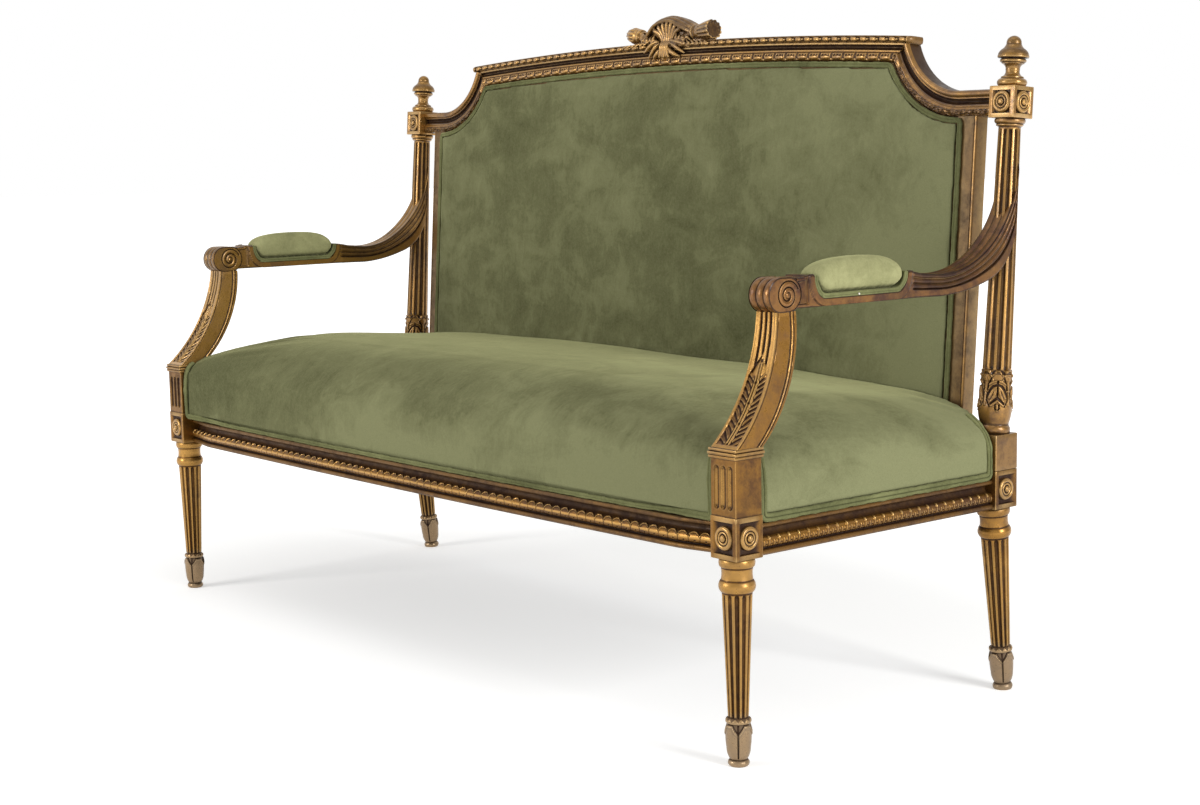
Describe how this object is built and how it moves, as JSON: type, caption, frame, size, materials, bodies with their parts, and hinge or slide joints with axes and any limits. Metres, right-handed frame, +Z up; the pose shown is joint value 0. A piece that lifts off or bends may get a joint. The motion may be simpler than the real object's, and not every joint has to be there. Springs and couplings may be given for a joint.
{
  "type": "settee",
  "caption": "Upholstered settee with turned fluted legs, open padded scroll arms, an arched back with concave shoulders and a carved crest.",
  "frame": {"origin": "middle of the base, on the floor, under the centre of the whole settee", "axes": "+Z up, -Y out of the front of the seat, +X to the right for someone who looks at the front"},
  "size_m": [1.584, 0.6256, 1.069],
  "materials": {
    "gilt_wood": "carved wood, aged gold-bronze gilding with dark brown recesses",
    "plain_wood": "plain sawn beech, unfinished",
    "velvet": "olive-green cotton velvet, brushed nap",
    "velvet_welt": "double welt covered in the same velvet",
    "padding": "foam and cotton wadding",
    "burlap": "coarse jute burlap",
    "webbing": "jute webbing",
    "dust_cloth": "black cambric",
    "steel": "drawn spring wire and steel screws",
    "tack_metal": "bright tack"
  },
  "bodies": {
    "root": {"front_leg_right": "gilt_wood", "front_leg_left": "gilt_wood", "rear_leg_right": "gilt_wood", "rear_leg_left": "gilt_wood", "back_post_right": "gilt_wood", "back_post_left": "gilt_wood", "finial_right": "gilt_wood", "finial_left": "gilt_wood", "front_rosettes_right": "gilt_wood", "front_rosettes_left": "gilt_wood", "rear_rosette_right": "gilt_wood", "rear_rosette_left": "gilt_wood", "top_rosettes_right": "gilt_wood", "top_rosettes_left": "gilt_wood", "front_seat_rail": "gilt_wood", "side_seat_rail_right": "gilt_wood", "side_seat_rail_left": "gilt_wood", "back_seat_rail": "plain_wood", "corner_blocks": "plain_wood", "corner_block_screws": "steel", "post_dowels": "plain_wood", "arm_support_right": "gilt_wood", "arm_support_left": "gilt_wood", "arm_right": "gilt_wood", "arm_left": "gilt_wood", "arm_pad_welt_right": "velvet_welt", "arm_pad_welt_left": "velvet_welt", "arm_pad_right": "velvet", "arm_pad_left": "velvet", "arm_pad_tack_right": "tack_metal", "arm_pad_tack_left": "tack_metal", "back_top_rail": "gilt_wood", "back_crown_moulding": "gilt_wood", "back_shoulder_right": "gilt_wood", "back_shoulder_left": "gilt_wood", "back_stile_right": "gilt_wood", "back_stile_left": "gilt_wood", "back_bottom_rail": "plain_wood", "crest_carving": "gilt_wood", "seat_springs": "steel", "seat_burlap": "burlap", "seat_padding": "padding", "seat_cover": "velvet", "seat_welt": "velvet_welt", "seat_dust_cover": "dust_cloth", "back_webbing": "webbing", "back_burlap": "burlap", "back_padding": "padding", "back_cover": "velvet", "back_welt": "velvet_welt", "outside_back_cover": "velvet"}
  },
  "joints": []
}
